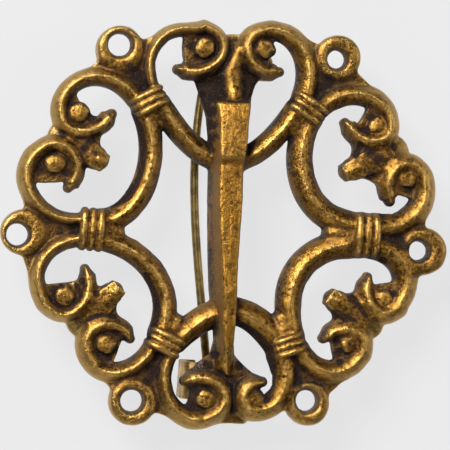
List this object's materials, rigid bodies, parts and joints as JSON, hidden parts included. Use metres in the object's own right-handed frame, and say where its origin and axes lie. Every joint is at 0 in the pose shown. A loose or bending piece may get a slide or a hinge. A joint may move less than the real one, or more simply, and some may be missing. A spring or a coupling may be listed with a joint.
{
  "type": "fibula brooch",
  "caption": "Openwork cast brass fibula brooch with scrolled lobes, pierced edge lugs, a raised keel bow, and a hinged wire pin with a folded sheet catch on its back",
  "frame": {"origin": "centre of the overall box in plan, at the lowest point of the hinge ears and the catch", "axes": "+X to the right across the brooch, +Y to the top of the brooch where the pin is hinged, +Z off its face"},
  "size_m": [0.056, 0.0511, 0.0116],
  "materials": {
    "cast_brass": "worn patinated casting",
    "sheet_brass": "dull folded sheet",
    "wire_brass": "drawn wire, lightly tarnished"
  },
  "bodies": {
    "brooch": {"brooch_body": "cast_brass", "hinge_bracket": "sheet_brass", "hinge_rivet": "wire_brass", "catch": "sheet_brass"},
    "pin_arm": {"pin": "wire_brass"}
  },
  "joints": [
    {"name": "pin_open", "type": "hinge", "parent": "brooch", "child": "pin_arm", "pos_m": [0, 0.0204, 0.0021], "axis": [1, 0, 0], "range_deg": [0, 110]}
  ]
}
